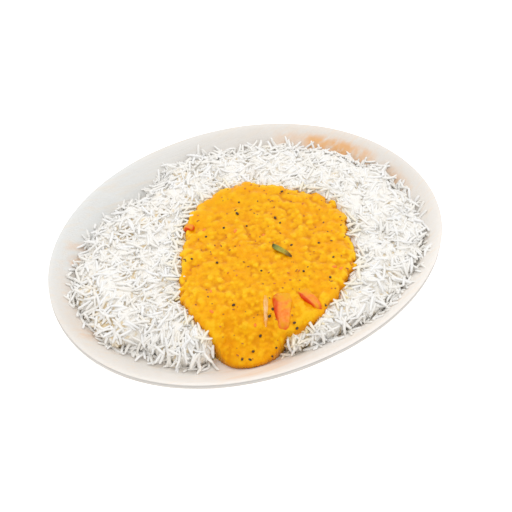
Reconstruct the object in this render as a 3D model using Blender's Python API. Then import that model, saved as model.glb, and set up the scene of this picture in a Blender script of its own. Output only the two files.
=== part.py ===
"""Oval palm-leaf plate with white rice, yellow lentil curry, tomato pieces and a curry leaf.

The origin is under the middle of the plate, +X runs along the plate and +Z is up.
"""

import math
import random

import bmesh
import bpy
from mathutils import Vector, noise
from mathutils.bvhtree import BVHTree

# Plate, pressed from one palm leaf
PLATE_LENGTH = 0.260
PLATE_WIDTH = 0.2074
PLATE_SIDES = 72
OVAL_POWER = 2.05
FRONT_WIDENING = 0.031
# Inner face and underside, as distance in from the rim and height
INNER_PROFILE = (
    (0.0000, 0.0240),
    (0.0030, 0.0226),
    (0.0090, 0.0172),
    (0.0160, 0.0104),
    (0.0210, 0.0057),
    (0.0245, 0.0034),
    (0.0280, 0.0026),
)
UNDER_PROFILE = (
    (0.0260, 0.0000),
    (0.0210, 0.0021),
    (0.0160, 0.0068),
    (0.0090, 0.0137),
    (0.0000, 0.0206),
)

# Clearance between pieces that touch on the real plate
GAP = 0.00035
# How far round a point a piece looks for the highest spot under it
REACH_ON_PLATE = 0.0015
REACH_ON_RICE = 0.0045
REACH_ON_CURRY = 0.0018

# Rice heap
RICE_SIDES = 140
RICE_OUTLINE = (
    (-0.059, -0.062), (-0.069, -0.061), (-0.079, -0.055), (-0.086, -0.044), (-0.089, -0.035),
    (-0.097, -0.027), (-0.109, -0.024), (-0.113, -0.010), (-0.112, 0.006), (-0.115, 0.013),
    (-0.114, 0.021), (-0.106, 0.034), (-0.095, 0.047), (-0.089, 0.052), (-0.082, 0.061),
    (-0.071, 0.068), (-0.053, 0.075), (-0.041, 0.078), (-0.023, 0.082), (-0.012, 0.090),
    (0.001, 0.092), (0.017, 0.090), (0.036, 0.084), (0.047, 0.080), (0.057, 0.078),
    (0.064, 0.074), (0.070, 0.071), (0.078, 0.065), (0.087, 0.059), (0.092, 0.053),
    (0.099, 0.047), (0.103, 0.038), (0.108, 0.027), (0.113, 0.019), (0.118, 0.013),
    (0.117, 0.005), (0.114, -0.005), (0.117, -0.016), (0.114, -0.026), (0.109, -0.039),
    (0.101, -0.054), (0.088, -0.066), (0.076, -0.073), (0.065, -0.079), (0.056, -0.080),
    (0.042, -0.089), (0.030, -0.088), (0.014, -0.086), (-0.003, -0.085), (-0.015, -0.082),
    (-0.022, -0.076), (-0.027, -0.066), (-0.035, -0.061), (-0.044, -0.059), (-0.052, -0.057),
)
RICE_LEVEL = 0.0222
RICE_RISE_TO_RIGHT = 0.012
RICE_SWELL = 0.0020
RICE_SWELL_WIDTH = 0.030
RICE_EDGE = 0.0060
RICE_EDGE_ON_WALL = 0.2
RICE_SHOULDER = 0.018
RICE_LEAST_DEPTH = 0.0015
RICE_SIDE_HEIGHT = 0.55
RICE_SIDE_RAGGED = 0.0016
INNER_SHARES = (0.20, 0.38)
OUTER_SHARE = 0.47
OUTER_RINGS = 14
OUTER_STEP = 0.0385
UNDERSIDE_SHARES = (0.985, 0.93, 0.80, 0.45)
# Bumps of the size of grains, as width and height
GRAIN_BUMPS = ((0.0036, 0.0034), (0.0085, 0.0022))
BARE_MARGIN = 0.003
# Grains that stick out at the edge of the heap
GRAIN_LENGTH = 0.011
GRAIN_WIDTH = 0.0023
GRAIN_SIDES = 5
GRAIN_SWELL = ((0.14, 0.72), (0.50, 1.0), (0.86, 0.68))
EDGE_GRAINS = 84
CURRY_CLEARANCE = 0.006

# Curry, poured over the middle of the rice and out onto the plate at the front
CURRY_SIDES = 66
CURRY_CENTRE = (-0.002, -0.016)
CURRY_OUTLINE = (
    (0.046, -0.056), (0.053, -0.045), (0.058, -0.032), (0.065, -0.018), (0.068, -0.004),
    (0.064, 0.008), (0.056, 0.017), (0.050, 0.026), (0.042, 0.032), (0.034, 0.039),
    (0.026, 0.047), (0.016, 0.050), (0.006, 0.047), (-0.006, 0.045), (-0.018, 0.041),
    (-0.028, 0.037), (-0.033, 0.019), (-0.043, 0.013), (-0.047, -0.001), (-0.056, -0.010),
    (-0.060, -0.021), (-0.060, -0.032), (-0.060, -0.040), (-0.058, -0.049), (-0.056, -0.058),
    (-0.056, -0.067), (-0.050, -0.075), (-0.039, -0.080), (-0.029, -0.080), (-0.022, -0.076),
    (-0.020, -0.071), (-0.014, -0.075), (-0.008, -0.078), (0.002, -0.077), (0.010, -0.074),
    (0.018, -0.071), (0.029, -0.068), (0.036, -0.061),
)
CURRY_SHARES = (0.15, 0.30, 0.45, 0.58, 0.70, 0.80, 0.89, 0.96)
CURRY_DEPTH = 0.0062
CURRY_EDGE = 0.0024
CURRY_LEAST_DEPTH = 0.0012
CURRY_SHOULDER = 0.011
CURRY_LUMPS = ((0.007, 0.0008), (0.022, 0.0010))
BED_DIP = 0.0022
BED_DIP_WIDTH = 0.006
# Where the curry runs out: direction from the middle of the plate and half-width in degrees
NOTCH_DIRECTION = 240.0
NOTCH_HALF_WIDTH = 10.0
NOTCH_FADE = 8.0
NOTCH_EDGE = 0.0008
NOTCH_SHOULDER = 0.024
FRONT_SLOPE = 0.62

# Mustard seeds fried into the curry
SEED_WIDTH = 0.0021
SEED_LIFT = 0.12
SEEDS = (
    (0.011, 0.029), (0.005, 0.009), (0.024, 0.001), (-0.022, 0.014), (-0.038, 0.001),
    (-0.027, -0.009), (-0.007, -0.030), (0.022, -0.040), (0.036, -0.028), (0.028, -0.056),
    (0.038, -0.043), (-0.001, -0.074), (-0.030, -0.062), (-0.035, -0.066), (-0.041, -0.068),
    (-0.035, -0.043), (-0.009, 0.014), (0.038, 0.024), (0.020, -0.021), (0.013, -0.071),
)

# Pieces lying in the curry: middle, length, width, height and turn about +Z in degrees
TOMATO_WEDGE = {"middle": (-0.0105, -0.0615), "size": (0.026, 0.011, 0.0042), "turn": 58}
TOMATO_PIECE = {"middle": (0.0080, -0.0620), "size": (0.018, 0.0075, 0.0036), "turn": 97}
TOMATO_BIT = {"middle": (-0.0265, 0.0285), "size": (0.0075, 0.0055, 0.0030), "turn": 120}
ONION_STRIP = {"middle": (-0.0190, -0.0545), "size": (0.021, 0.0040, 0.0018), "turn": 58}
# Rings of such a piece, as share of its outline and of its height
PIECE_RINGS = ((0.45, 0.94), (0.80, 0.70), (1.00, 0.25), (0.90, 0.0), (0.45, 0.0))
PIECE_SIDES = 14
PIECE_FLAT_SIDE = 0.7
DENT_DEPTH = 0.0022
DENT_MARGIN = 0.003
DENT_FALL = 1.4

# Curry leaf
LEAF_START = (0.0095, -0.0150)
LEAF_END = (0.0145, -0.0300)
LEAF_WIDTH = 0.0060
LEAF_BODY = 0.0006
LEAF_COLUMNS = 7
LEAF_ROWS = 3
LEAF_WAVE = 0.0005
LEAF_FOLD = 0.0004


def clear_scene():
    """Remove whatever the file holds, so that only the plate of food is left."""
    for item in list(bpy.data.objects):
        bpy.data.objects.remove(item, do_unlink=True)


def food_material(name, colour, roughness):
    """Principled material with one linear colour."""
    material = bpy.data.materials.new(name)
    material.use_nodes = True
    shader = material.node_tree.nodes["Principled BSDF"]
    shader.inputs["Base Color"].default_value = (*colour, 1.0)
    shader.inputs["Roughness"].default_value = roughness
    shader.inputs["Metallic"].default_value = 0.0
    return material


def add_object(name, bm, material):
    """Make a smooth-shaded object from the mesh, with its faces pointing out."""
    bmesh.ops.triangulate(bm, faces=bm.faces[:])
    bmesh.ops.recalc_face_normals(bm, faces=bm.faces[:])
    mesh = bpy.data.meshes.new(name)
    bm.to_mesh(mesh)
    bm.free()
    mesh.shade_smooth()
    mesh.set_sharp_from_angle(angle=math.radians(50))
    mesh.materials.append(material)
    item = bpy.data.objects.new(name, mesh)
    bpy.context.collection.objects.link(item)
    return item


def bridge(bm, first, second):
    """Faces between two rings, where a ring of one point is a pole."""
    count = max(len(first), len(second))
    for i in range(count):
        j = (i + 1) % count
        if len(first) == 1:
            bm.faces.new((first[0], second[i], second[j]))
        elif len(second) == 1:
            bm.faces.new((first[j], first[i], second[0]))
        else:
            bm.faces.new((first[j], first[i], second[i], second[j]))


def solid_from_rings(name, rings, material):
    """Closed solid through a row of rings, capped where the row ends in a full ring."""
    bm = bmesh.new()
    loops = [[bm.verts.new(point) for point in ring] for ring in rings]
    for first, second in zip(loops, loops[1:]):
        bridge(bm, first, second)
    for end in (loops[0], loops[-1]):
        if len(end) > 1:
            bm.faces.new(end)
    return add_object(name, bm, material)


def clamp(amount):
    """Keep an amount between 0 and 1."""
    return min(max(amount, 0.0), 1.0)


def ease(amount):
    """Rise from 0 to 1 that is steep first and level at the end."""
    return 1.0 - (1.0 - clamp(amount)) ** 2


def relief(x, y, waves):
    """Sum of smooth random waves, each given as width and height."""
    return sum(
        height * noise.noise(Vector((x / width, y / width, number + 0.3)))
        for number, (width, height) in enumerate(waves)
    )


def surface_of(item):
    """Search tree over the object's triangles."""
    points = [vertex.co.copy() for vertex in item.data.vertices]
    faces = [tuple(face.vertices) for face in item.data.polygons]
    return BVHTree.FromPolygons(points, faces)


def height_at(surface, x, y):
    """Height of a surface over a point, 0 beside it."""
    hit = surface.ray_cast(Vector((x, y, PLATE_WIDTH)), Vector((0.0, 0.0, -1.0)))[0]
    return hit.z if hit is not None else 0.0


def resting_height(surface, x, y, reach):
    """Height that clears a surface everywhere within reach of the point."""
    highest = height_at(surface, x, y)
    for radius in (0.5 * reach, reach):
        for step in range(8):
            angle = math.radians(45 * step)
            spot = (x + radius * math.cos(angle), y + radius * math.sin(angle))
            highest = max(highest, height_at(surface, *spot))
    return highest + GAP


def polar_outline(points, centre):
    """Outline as angle and radius round a centre, in order of angle."""
    rows = []
    for x, y in points:
        angle = math.atan2(y - centre[1], x - centre[0]) % math.tau
        rows.append((angle, math.hypot(x - centre[0], y - centre[1])))
    rows.sort()
    before = (rows[-1][0] - math.tau, rows[-1][1])
    after = (rows[0][0] + math.tau, rows[0][1])
    return [before] + rows + [after]


def radius_towards(outline, angle):
    """Radius of a polar outline in one direction."""
    angle %= math.tau
    for (start, near), (end, far) in zip(outline, outline[1:]):
        if start <= angle <= end:
            return near + (far - near) * (angle - start) / (end - start)
    return outline[0][1]


RICE_POLAR = polar_outline(RICE_OUTLINE, (0.0, 0.0))
CURRY_POLAR = polar_outline(CURRY_OUTLINE, CURRY_CENTRE)


def outline_ring(outline, centre, sides, share):
    """Points evenly round an outline that is drawn in to a share of its radius."""
    ring = []
    for side in range(sides):
        angle = math.tau * side / sides
        radius = share * radius_towards(outline, angle)
        ring.append((centre[0] + radius * math.cos(angle), centre[1] + radius * math.sin(angle)))
    return ring


def inside_rice(x, y):
    """Distance in from the edge of the rice, negative outside it."""
    return radius_towards(RICE_POLAR, math.atan2(y, x)) - math.hypot(x, y)


def inside_curry(x, y):
    """Distance in from the edge of the curry, negative outside it."""
    dx = x - CURRY_CENTRE[0]
    dy = y - CURRY_CENTRE[1]
    return radius_towards(CURRY_POLAR, math.atan2(dy, dx)) - math.hypot(dx, dy)


def rim_ring():
    """The plate's rim seen from above: an oval a little wider towards the front."""
    ring = []
    for side in range(PLATE_SIDES):
        angle = math.tau * side / PLATE_SIDES
        along = math.copysign(abs(math.cos(angle)) ** (2.0 / OVAL_POWER), math.cos(angle))
        across = math.copysign(abs(math.sin(angle)) ** (2.0 / OVAL_POWER), math.sin(angle))
        x = 0.5 * PLATE_LENGTH * along * (1.0 - FRONT_WIDENING * across)
        ring.append(Vector((x, 0.5 * PLATE_WIDTH * across)))
    return ring


def inset_ring(ring, inset, height):
    """Ring moved inwards square to the rim and lifted to a height."""
    points = []
    for i, point in enumerate(ring):
        edge = ring[(i + 1) % len(ring)] - ring[i - 1]
        inward = Vector((-edge.y, edge.x)).normalized()
        moved = point + inset * inward
        points.append((moved.x, moved.y, height))
    return points


def build_plate():
    """Shallow plate with a flat base and a wall that leans out to the cut rim."""
    rim = rim_ring()
    rings = [inset_ring(rim, inset, height) for inset, height in reversed(INNER_PROFILE)]
    rings += [inset_ring(rim, inset, height) for inset, height in reversed(UNDER_PROFILE)]
    leaf = food_material("pressed palm leaf", (0.80, 0.73, 0.65), 0.62)
    return solid_from_rings("plate", rings, leaf)


def notch_share(x, y):
    """1 where the curry runs out over the front of the rice, 0 away from there."""
    angle = math.degrees(math.atan2(y, x)) % 360.0
    past = abs(angle - NOTCH_DIRECTION) - NOTCH_HALF_WIDTH
    return clamp(1.0 - past / NOTCH_FADE)


def edge_height(plate_surface, x, y):
    """Height of the plate where the edge of the rice lies in this direction."""
    angle = math.atan2(y, x)
    radius = radius_towards(RICE_POLAR, angle)
    return height_at(plate_surface, radius * math.cos(angle), radius * math.sin(angle))


def rice_bed(plate_surface, x, y):
    """Height of the rice without its grains, or of the plate beside the rice."""
    inside = inside_rice(x, y)
    base = height_at(plate_surface, x, y)
    if inside <= 0.0:
        return base
    notch = notch_share(x, y)
    covered = clamp(inside_curry(x, y) / BED_DIP_WIDTH)
    swell = relief(x, y, ((RICE_SWELL_WIDTH, RICE_SWELL),))
    level = RICE_LEVEL + RICE_RISE_TO_RIGHT * x + (1.0 - covered) * swell - covered * BED_DIP
    foot = edge_height(plate_surface, x, y)
    edge = foot + (1.0 - notch) * (RICE_EDGE - RICE_EDGE_ON_WALL * foot) + notch * NOTCH_EDGE
    shoulder = RICE_SHOULDER + notch * (NOTCH_SHOULDER - RICE_SHOULDER)
    height = edge + max(level - edge, 0.0) * ease(inside / shoulder)
    return max(height, base + RICE_LEAST_DEPTH)


def rice_ring(plate_surface, share):
    """Ring of the heap's upper face, bumpy with grains outside the curry."""
    ring = []
    for x, y in outline_ring(RICE_POLAR, (0.0, 0.0), RICE_SIDES, share):
        bare = clamp(-inside_curry(x, y) / BARE_MARGIN)
        bumps = bare * relief(x, y, GRAIN_BUMPS)
        ring.append((x, y, rice_bed(plate_surface, x, y) + bumps))
    return ring


def rice_underside(plate_surface, share):
    """Ring of the heap's lower face, which follows the plate."""
    return [
        (x, y, resting_height(plate_surface, x, y, REACH_ON_PLATE))
        for x, y in outline_ring(RICE_POLAR, (0.0, 0.0), RICE_SIDES, share)
    ]


def rice_side(plate_surface):
    """Ring half way up the edge, pushed in and out by its grains."""
    ring = []
    for x, y in outline_ring(RICE_POLAR, (0.0, 0.0), RICE_SIDES, 1.0):
        top = rice_bed(plate_surface, UNDERSIDE_SHARES[0] * x, UNDERSIDE_SHARES[0] * y)
        push = 1.0 + relief(x, y, ((GRAIN_BUMPS[0][0], RICE_SIDE_RAGGED),)) / math.hypot(x, y)
        base = resting_height(plate_surface, push * x, push * y, REACH_ON_PLATE)
        ring.append((push * x, push * y, base + RICE_SIDE_HEIGHT * max(top - base, GAP)))
    return ring


def build_rice_core(plate_surface):
    """Heap of rice without the grains that stick out at its edge."""
    shares = list(INNER_SHARES) + [OUTER_SHARE + OUTER_STEP * step for step in range(OUTER_RINGS)]
    rings = [[(0.0, 0.0, rice_bed(plate_surface, 0.0, 0.0))]]
    rings += [rice_ring(plate_surface, share) for share in shares]
    rings.append(rice_side(plate_surface))
    rings += [rice_underside(plate_surface, share) for share in UNDERSIDE_SHARES]
    rings.append([(0.0, 0.0, resting_height(plate_surface, 0.0, 0.0, REACH_ON_PLATE))])
    return solid_from_rings("rice", rings, food_material("boiled rice", (0.84, 0.82, 0.78), 0.5))


def dent_at(x, y):
    """How far the curry sinks under the pieces that lie in it."""
    deepest = 0.0
    for piece in (TOMATO_WEDGE, TOMATO_PIECE, TOMATO_BIT):
        length, width, _ = piece["size"]
        turn = math.radians(piece["turn"])
        dx = x - piece["middle"][0]
        dy = y - piece["middle"][1]
        along = (dx * math.cos(turn) + dy * math.sin(turn)) / (0.5 * length + DENT_MARGIN)
        across = (dy * math.cos(turn) - dx * math.sin(turn)) / (0.5 * width + DENT_MARGIN)
        deepest = max(deepest, DENT_DEPTH * clamp(DENT_FALL - along * along - across * across))
    return deepest


def curry_base(plate_surface, rice_surface, x, y):
    """Height of the curry's lower face, close to the plate and well clear of the rice."""
    on_plate = resting_height(plate_surface, x, y, REACH_ON_PLATE)
    return max(on_plate, resting_height(rice_surface, x, y, REACH_ON_RICE))


def curry_top(plate_surface, rice_surface, x, y, inside):
    """Height of the curry's upper face at a distance in from its edge."""
    depth = CURRY_EDGE + (CURRY_DEPTH - CURRY_EDGE) * ease(inside / CURRY_SHOULDER)
    bed = rice_bed(plate_surface, x, y)
    slope = height_at(plate_surface, x, y) + CURRY_EDGE + FRONT_SLOPE * inside
    front = max(min(slope, RICE_LEVEL - BED_DIP) - bed - 0.6 * depth, 0.0)
    top = bed + depth + relief(x, y, CURRY_LUMPS) + notch_share(x, y) * front
    least = curry_base(plate_surface, rice_surface, x, y) + CURRY_LEAST_DEPTH
    return max(top - dent_at(x, y), least)


def curry_ring(plate_surface, rice_surface, share):
    """Ring of the curry's upper face: lumpy, thick inside and thin at its edge."""
    ring = []
    for x, y in outline_ring(CURRY_POLAR, CURRY_CENTRE, CURRY_SIDES, share):
        inside = inside_curry(x, y)
        ring.append((x, y, curry_top(plate_surface, rice_surface, x, y, inside)))
    return ring


def curry_underside(plate_surface, rice_surface, share, lift=0.0):
    """Ring of the curry's lower face, resting on the rice and on the plate."""
    return [
        (x, y, curry_base(plate_surface, rice_surface, x, y) + lift)
        for x, y in outline_ring(CURRY_POLAR, CURRY_CENTRE, CURRY_SIDES, share)
    ]


def build_curry_core(plate_surface, rice_surface):
    """Curry without its seeds."""
    below = (plate_surface, rice_surface)
    reach = radius_towards(CURRY_POLAR, 0.0)
    rings = [[(*CURRY_CENTRE, curry_top(*below, *CURRY_CENTRE, reach))]]
    rings += [curry_ring(*below, share) for share in CURRY_SHARES]
    rings.append(curry_underside(*below, 1.0, lift=0.5 * CURRY_EDGE))
    rings += [curry_underside(*below, share) for share in reversed(CURRY_SHARES)]
    rings.append([(*CURRY_CENTRE, curry_base(*below, *CURRY_CENTRE))])
    return solid_from_rings("curry", rings, food_material("lentil curry", (0.91, 0.44, 0.02), 0.3))


def piece_ring(piece, share, sides):
    """Points of a piece's half-moon outline, fuller on one side than on the other."""
    length, width, _ = piece["size"]
    turn = math.radians(piece["turn"])
    ring = []
    for side in range(sides):
        angle = math.tau * side / sides
        along = 0.5 * length * share * math.cos(angle)
        across = 0.5 * width * share * math.sin(angle)
        if across < 0.0:
            across *= PIECE_FLAT_SIDE
        x = piece["middle"][0] + along * math.cos(turn) - across * math.sin(turn)
        y = piece["middle"][1] + along * math.sin(turn) + across * math.cos(turn)
        ring.append((x, y))
    return ring


def build_piece(name, piece, curry_surface, material, sides=PIECE_SIDES):
    """Low rounded piece with its underside on the curry."""
    middle = piece["middle"]
    height = piece["size"][2]
    base = resting_height(curry_surface, *middle, REACH_ON_CURRY)
    rings = [[(*middle, base + height)]]
    for share, rise in PIECE_RINGS:
        ring = []
        for x, y in piece_ring(piece, share, sides):
            lying = resting_height(curry_surface, x, y, REACH_ON_CURRY)
            ring.append((x, y, lying + rise * height))
        rings.append(ring)
    rings.append([(*middle, base)])
    return solid_from_rings(name, rings, material)


def leaf_point(curry_surface, column, row):
    """Point of the leaf's lower face: folded along its rib and waved from end to end."""
    share = column / (LEAF_COLUMNS - 1)
    off_rib = row - (LEAF_ROWS - 1) // 2
    start = Vector(LEAF_START)
    run = Vector(LEAF_END) - start
    side = Vector((-run.y, run.x)).normalized()
    half_width = 0.5 * LEAF_WIDTH * math.sin(math.pi * (0.12 + 0.80 * share ** 0.8))
    spot = start + run * share + side * half_width * off_rib
    wave = LEAF_WAVE * (1.0 + math.sin(5.0 * share + 1.5 * row))
    lying = resting_height(curry_surface, spot.x, spot.y, REACH_ON_CURRY)
    return Vector((spot.x, spot.y, lying + wave + LEAF_FOLD * abs(off_rib)))


def build_leaf(curry_surface):
    """Thin wavy curry leaf whose two faces are split into triangles alike."""
    spots = [(column, row) for column in range(LEAF_COLUMNS) for row in range(LEAF_ROWS)]
    lower = [leaf_point(curry_surface, column, row) for column, row in spots]
    bm = bmesh.new()
    under = [bm.verts.new(point) for point in lower]
    over = [bm.verts.new(point + Vector((0.0, 0.0, LEAF_BODY))) for point in lower]
    for column in range(LEAF_COLUMNS - 1):
        for row in range(LEAF_ROWS - 1):
            a = column * LEAF_ROWS + row
            b = a + LEAF_ROWS
            for face in ((a, a + 1, b + 1), (a, b + 1, b)):
                bm.faces.new([over[k] for k in face])
                bm.faces.new([under[k] for k in reversed(face)])
    rim = [edge for edge in bm.edges if edge.is_boundary and edge.verts[0] in over]
    for edge in rim:
        first, second = (over.index(vertex) for vertex in edge.verts)
        bm.faces.new((over[first], over[second], under[second], under[first]))
    return add_object("leaf", bm, food_material("curry leaf", (0.17, 0.19, 0.03), 0.4))


def build_grain(start, end, width, material):
    """Long rice grain from one tip to the other."""
    axis = (end - start).normalized()
    across = axis.cross(Vector((0.0, 0.0, 1.0))).normalized()
    upward = across.cross(axis)
    rings = [[start]]
    for share, swell in GRAIN_SWELL:
        middle = start.lerp(end, share)
        ring = []
        for side in range(GRAIN_SIDES):
            angle = math.tau * side / GRAIN_SIDES
            offset = across * math.cos(angle) + upward * math.sin(angle)
            ring.append(middle + 0.5 * width * swell * offset)
        rings.append(ring)
    rings.append([end])
    return solid_from_rings("grain", rings, material)


def edge_grain_ends(plate_surface, rice_surface, angle, rng):
    """Ends of a grain that sticks out over the heap's edge, or None beside the curry."""
    slant = rng.uniform(-1.3, 1.3)
    length = GRAIN_LENGTH * rng.uniform(0.85, 1.1)
    buried = rng.uniform(0.55, 0.85) * length * math.cos(slant)
    radius = radius_towards(RICE_POLAR, angle) - buried
    root = Vector((radius * math.cos(angle), radius * math.sin(angle)))
    tip = root + length * Vector((math.cos(angle + slant), math.sin(angle + slant)))
    if inside_curry(*root) > -CURRY_CLEARANCE or inside_curry(*tip) > -CURRY_CLEARANCE:
        return None
    root_floor = resting_height(plate_surface, *root, REACH_ON_PLATE) + 0.5 * GRAIN_WIDTH
    tip_floor = resting_height(plate_surface, *tip, REACH_ON_PLATE) + 0.5 * GRAIN_WIDTH
    sunk = height_at(rice_surface, *root) - rng.uniform(0.25, 0.75) * GRAIN_WIDTH
    root_height = max(sunk, root_floor)
    raised = tip_floor + rng.uniform(0.0, RICE_EDGE)
    tip_height = max(tip_floor, min(root_height, raised))
    return Vector((*root, root_height)), Vector((*tip, tip_height))


def fuse(core, pieces, solver="EXACT"):
    """Join the pieces to the core as one closed body."""
    group = bpy.data.collections.new(core.name + " pieces")
    for piece in pieces:
        group.objects.link(piece)
        bpy.context.collection.objects.unlink(piece)
    union = core.modifiers.new("union", "BOOLEAN")
    union.operation = "UNION"
    union.solver = solver
    union.operand_type = "COLLECTION"
    union.collection = group
    bpy.context.view_layer.update()
    evaluated = core.evaluated_get(bpy.context.evaluated_depsgraph_get())
    mesh = bpy.data.meshes.new_from_object(evaluated)
    core.modifiers.clear()
    core.data = mesh
    for piece in pieces:
        bpy.data.objects.remove(piece, do_unlink=True)
    bpy.data.collections.remove(group)


def add_edge_grains(rice, plate_surface, rice_surface):
    """Fuse single grains to the edge of the heap."""
    rng = random.Random(11)
    grains = []
    for number in range(EDGE_GRAINS):
        angle = math.tau * (number + rng.uniform(-0.3, 0.3)) / EDGE_GRAINS
        ends = edge_grain_ends(plate_surface, rice_surface, angle, rng)
        if ends is not None:
            width = GRAIN_WIDTH * rng.uniform(0.9, 1.1)
            grains.append(build_grain(*ends, width, rice.data.materials[0]))
    fuse(rice, grains)


def add_seeds(curry, curry_surface):
    """Fuse mustard seeds to the curry, a little sunk into it."""
    seeds = []
    for x, y in SEEDS:
        bm = bmesh.new()
        bmesh.ops.create_icosphere(bm, subdivisions=1, radius=0.5 * SEED_WIDTH)
        height = height_at(curry_surface, x, y) + SEED_LIFT * SEED_WIDTH
        bmesh.ops.translate(bm, verts=bm.verts, vec=(x, y, height))
        seeds.append(add_object("seed", bm, curry.data.materials[0]))
    fuse(curry, seeds, solver="MANIFOLD")


def main():
    clear_scene()
    plate_surface = surface_of(build_plate())
    rice = build_rice_core(plate_surface)
    rice_surface = surface_of(rice)
    curry = build_curry_core(plate_surface, rice_surface)
    curry_surface = surface_of(curry)
    tomato = food_material("tomato", (0.82, 0.20, 0.03), 0.3)
    onion = food_material("onion", (0.88, 0.52, 0.16), 0.35)
    build_piece("tomato_wedge", TOMATO_WEDGE, curry_surface, tomato)
    build_piece("tomato_piece", TOMATO_PIECE, curry_surface, tomato)
    build_piece("tomato_bit", TOMATO_BIT, curry_surface, tomato)
    build_piece("onion_strip", ONION_STRIP, curry_surface, onion)
    build_leaf(curry_surface)
    add_edge_grains(rice, plate_surface, rice_surface)
    add_seeds(curry, curry_surface)


main()
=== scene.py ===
"""Oval palm-leaf plate with basmati rice and yellow lentil curry.

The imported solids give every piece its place. Rice grains, curry relief, seeds and toppings
are made here as real meshes over them.
"""

import math
import random

import bmesh
import bpy
import numpy as np
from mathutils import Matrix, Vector, noise
from mathutils.bvhtree import BVHTree


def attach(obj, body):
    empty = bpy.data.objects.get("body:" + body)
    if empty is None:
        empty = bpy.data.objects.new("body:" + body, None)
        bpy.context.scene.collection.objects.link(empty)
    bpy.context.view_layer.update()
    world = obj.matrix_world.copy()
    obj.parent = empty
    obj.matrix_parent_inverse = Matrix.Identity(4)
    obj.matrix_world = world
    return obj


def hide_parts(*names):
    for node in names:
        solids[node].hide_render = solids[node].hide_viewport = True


# Camera
CAMERA_TARGET = (0.0084, 0.0030, 0.0)
CAMERA_TURN = -31.02
CAMERA_RISE = 48.0
CAMERA_DISTANCE = 0.70
CAMERA_LENS = 74.93
CAMERA_SENSOR = 36.0
CAMERA_NEAR = 0.01

# Light
SKY_STRENGTH = 0.925
KEY_TURN = 149.0
KEY_RISE = 80.0
KEY_DISTANCE = 1.0
KEY_SIZE = 1.2
KEY_POWER = 2.8
FLOOR_SIZE = 3.0
FLOOR_GLOW = 0.30

# Plan grid that things are set down on
GRID_HALF = (0.134, 0.108)
GRID_PITCH = 0.0005
RAY_HEIGHT = 0.08

# Plate, with the same outline and profile as its solid
PLATE_LENGTH = 0.260
PLATE_WIDTH = 0.2074
OVAL_POWER = 2.05
FRONT_WIDENING = 0.031
PLATE_SIDES = 360
INNER_PROFILE = (
    (0.0600, 0.0025),
    (0.0450, 0.0025),
    (0.0350, 0.0025),
    (0.0280, 0.0026),
    (0.0245, 0.0034),
    (0.0210, 0.0057),
    (0.0160, 0.0104),
    (0.0090, 0.0172),
    (0.0030, 0.0226),
    (0.0000, 0.0239),
)
UNDER_PROFILE = (
    (0.0000, 0.0207),
    (0.0090, 0.0137),
    (0.0160, 0.0068),
    (0.0210, 0.0021),
    (0.0260, 0.0000),
    (0.0600, 0.0000),
)
PROFILE_STEPS = 5
# Relief of the fibres: its height, its waves per metre, and where on the wall it is
FIBRE_RELIEF = 0.00012
FIBRE_WAVES = (25.0, 520.0, 300.0)
FIBRE_INSETS = (0.001, 0.03)
LOWEST_FIBRES = 0.003
# Wave of the rim: its height, its waves per metre, and how far in it fades out
RIM_WAVE = 0.00025
RIM_WAVES = 40.0
RIM_WAVE_REACH = 0.02
# Tan stains: middle, half-length and half-width in plan, strength
STAINS = (
    ((0.095, 0.061), 0.013, 0.012, 1.0),
    ((0.106, 0.048), 0.013, 0.013, 1.0),
    ((0.113, 0.034), 0.010, 0.012, 0.7),
    ((0.079, 0.073), 0.016, 0.008, 0.4),
    ((0.117, 0.002), 0.007, 0.016, 0.5),
    ((-0.094, 0.045), 0.010, 0.007, 0.7),
    ((-0.088, 0.057), 0.030, 0.003, 0.35),
    ((-0.114, 0.020), 0.014, 0.045, 0.12),
    ((-0.112, -0.010), 0.018, 0.006, 0.35),
    ((-0.050, -0.088), 0.040, 0.005, 0.30),
)
# How a stain fades from its middle and near the rim, and how much of it shows on the underside
STAIN_CORE = 1.6
STAIN_FADE = 1.3
STAIN_START = 0.0042
STAIN_INSET = 0.003
LEAST_STAIN = 0.1
UNDER_STAIN = 0.3
# How far from the middle the leaf is painted brighter in front, as painted light against the shade that falls
# there, and turns grey at the back and the left
PAINTED_LIGHT_FRONT = 0.080
GREY_BACK = 0.050
GREY_LEFT = 0.100

# Rice
# Bays where the heap's edge lies further in: middle, half-length and half-width in plan, turn in degrees
RICE_BAYS = (
    ((0.104, 0.057), 0.030, 0.0125, -53),
)
# Kinds of grain: how many, shortest and longest
GRAIN_KINDS = {
    "long_rice_grains": (2250, 0.0098, 0.0128),
    "short_rice_grains": (1900, 0.0070, 0.0098),
    "broken_rice_grains": (650, 0.0032, 0.0066),
}
GRAIN_WIDTH = (0.0017, 0.0022)
LONGEST_GRAIN = 0.0128
GRAIN_SIDES = 6
GRAIN_RINGS = ((0.02, 0.48), (0.10, 0.82), (0.34, 1.00), (0.68, 0.97), (0.91, 0.78), (0.985, 0.42))
GRAIN_THICKNESS = 0.78
GRAIN_BEND = 0.0022
# Laying a grain: places tried, points along it, how deep it sinks and how steep it may lie
GRAIN_TRIES = 10
GRAIN_SAMPLES = 9
GRAIN_SINK = 0.66
STEEPEST_GRAIN = 0.8
# How far a grain may lie over the bed, as a share of the depth there, and the least such depth
HIGHEST_OVER_BED = 0.15
LEAST_DEPTH = 0.0015
# Grains lie roughly along their neighbours: width of a patch and how far they stray
GRAIN_PATCH = 0.014
GRAIN_STRAY = 0.7
# A grain that reaches this far under the curry has to lie this far below its top there
CURRY_OVERLAP = 0.0018
LEAST_COVER = 0.0002
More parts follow.
